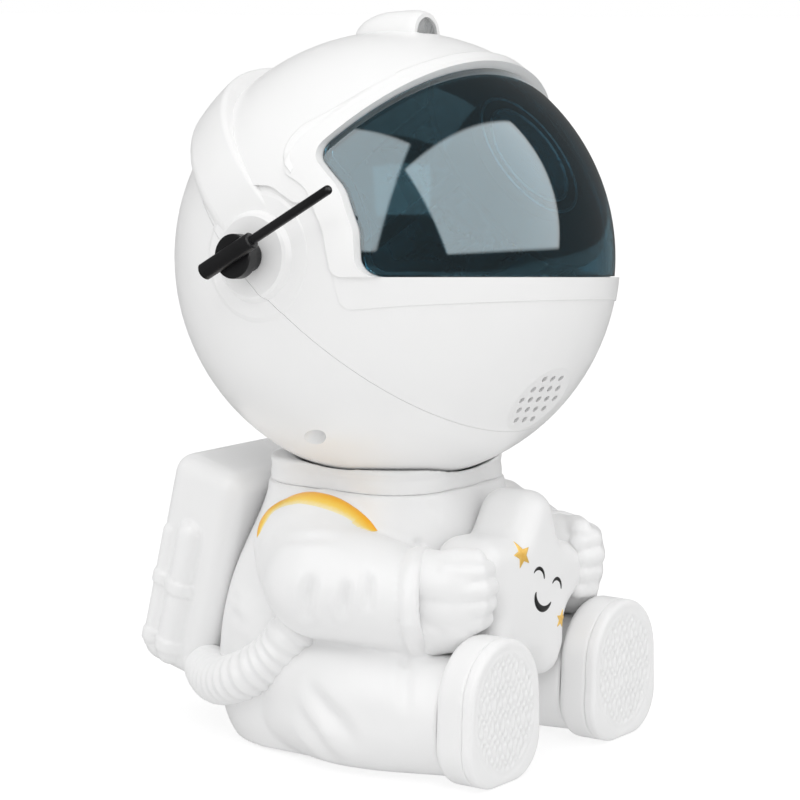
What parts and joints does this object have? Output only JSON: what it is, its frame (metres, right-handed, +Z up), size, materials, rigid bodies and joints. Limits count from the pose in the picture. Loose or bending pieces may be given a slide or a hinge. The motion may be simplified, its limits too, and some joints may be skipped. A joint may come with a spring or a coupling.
{
  "type": "planetarium projector",
  "caption": "Seated astronaut-shaped night-sky projector with a ball helmet on a magnetic neck, smoked visor over a projection lens, swinging antenna, backpack and a star held in its hands.",
  "frame": {"origin": "on the table, straight under the centre of the ball helmet", "axes": "+Z up, the front faces -Y, the figure's right side with the antenna faces -X"},
  "size_m": [0.1445, 0.1371, 0.212],
  "materials": {
    "white_shell": "satin white moulding",
    "smoked_visor": "glossy smoked",
    "clear_lens": "clear, polished",
    "black_plastic": "satin black",
    "grey_plastic": "fine matt",
    "rubber": "matt",
    "aluminium": "extruded",
    "steel": "plain zinc",
    "brass": "turned",
    "iron": "rough cast",
    "circuit_board": "solder resist"
  },
  "bodies": {
    "body": {"body_shell": "white_shell", "neck_collar": "white_shell", "arm_right": "white_shell", "arm_left": "white_shell", "glove_right": "white_shell", "glove_left": "white_shell", "boot_right": "white_shell", "boot_left": "white_shell", "sole_right": "white_shell", "sole_left": "white_shell", "backpack": "white_shell", "hose": "white_shell", "star": "white_shell", "base_plate": "white_shell", "ballast": "iron", "foot_pad_1": "rubber", "foot_pad_2": "rubber", "foot_pad_3": "rubber", "foot_pad_4": "rubber", "base_screw_1": "steel", "base_screw_2": "steel", "base_screw_3": "steel", "base_screw_4": "steel"},
    "neck": {"neck_seat": "grey_plastic", "seat_magnet": "steel"},
    "head": {"helmet_front_shell": "white_shell", "helmet_rear_shell": "white_shell", "visor": "smoked_visor", "brow_lamp": "clear_lens", "chassis": "grey_plastic", "heatsink": "aluminium", "led_board": "circuit_board", "gear_motor": "steel", "laser_module": "brass", "lens_barrel": "black_plastic", "projection_lens": "clear_lens", "lens_bezel": "black_plastic", "speaker": "black_plastic", "speaker_gasket": "rubber", "main_board": "circuit_board", "usb_inlet": "steel", "head_plate": "steel", "shell_screw_1": "steel", "shell_screw_2": "steel", "shell_screw_3": "steel", "shell_screw_4": "steel"},
    "antenna": {"antenna_knob": "black_plastic", "antenna_sleeve": "black_plastic", "antenna_rod": "black_plastic", "antenna_clip": "steel"},
    "ripple_wheel": {"ripple_disc": "clear_lens"},
    "pinion": {"motor_pinion": "brass"},
    "grating": {"grating_wheel": "grey_plastic"},
    "button_left_cap": {"button_left": "grey_plastic"},
    "button_middle_cap": {"button_middle": "grey_plastic"},
    "button_right_cap": {"button_right": "grey_plastic"}
  },
  "joints": [
    {"name": "neck_swivel", "type": "hinge", "parent": "body", "child": "neck", "pos_m": [0, 0, 0.072], "axis": [0, 0, 1], "continuous": true},
    {"name": "head_nod", "type": "hinge", "parent": "neck", "child": "head", "pos_m": [0, 0, 0.1408], "axis": [1, 0, 0], "range_deg": [-12, 20]},
    {"name": "antenna_swing", "type": "hinge", "parent": "head", "child": "antenna", "pos_m": [-0.06977, 0.0015, 0.14643], "axis": [-0.9967, 0, 0.0817], "range_deg": [-70, 90]},
    {"name": "ripple_spin", "type": "hinge", "parent": "head", "child": "ripple_wheel", "pos_m": [-0.00632, -0.02854, 0.16164], "axis": [0.0473, -0.8155, 0.5769], "continuous": true},
    {"name": "pinion_spin", "type": "hinge", "parent": "head", "child": "pinion", "pos_m": [0.00928, -0.0366, 0.14898], "axis": [0.0473, -0.8155, 0.5769], "continuous": true},
    {"name": "grating_spin", "type": "hinge", "parent": "head", "child": "grating", "pos_m": [0.02423, -0.03267, 0.1533], "axis": [0.0473, -0.8155, 0.5769], "continuous": true},
    {"name": "button_left_press", "type": "slide", "parent": "head", "child": "button_left_cap", "axis": [0.0048, -0.9983, 0.0585], "range_m": [0, 0.0006], "stiffness_N_per_m": 400, "springref_m": -0.001},
    {"name": "button_middle_press", "type": "slide", "parent": "head", "child": "button_middle_cap", "axis": [0.0048, -0.9983, 0.0585], "range_m": [0, 0.0006], "stiffness_N_per_m": 400, "springref_m": -0.001},
    {"name": "button_right_press", "type": "slide", "parent": "head", "child": "button_right_cap", "axis": [0.0048, -0.9983, 0.0585], "range_m": [0, 0.0006], "stiffness_N_per_m": 400, "springref_m": -0.001}
  ],
  "couplings": [
    {"joint": "pinion_spin", "follows": "ripple_spin", "ratio": -3.5},
    {"joint": "grating_spin", "follows": "ripple_spin", "ratio": 1.5}
  ]
}
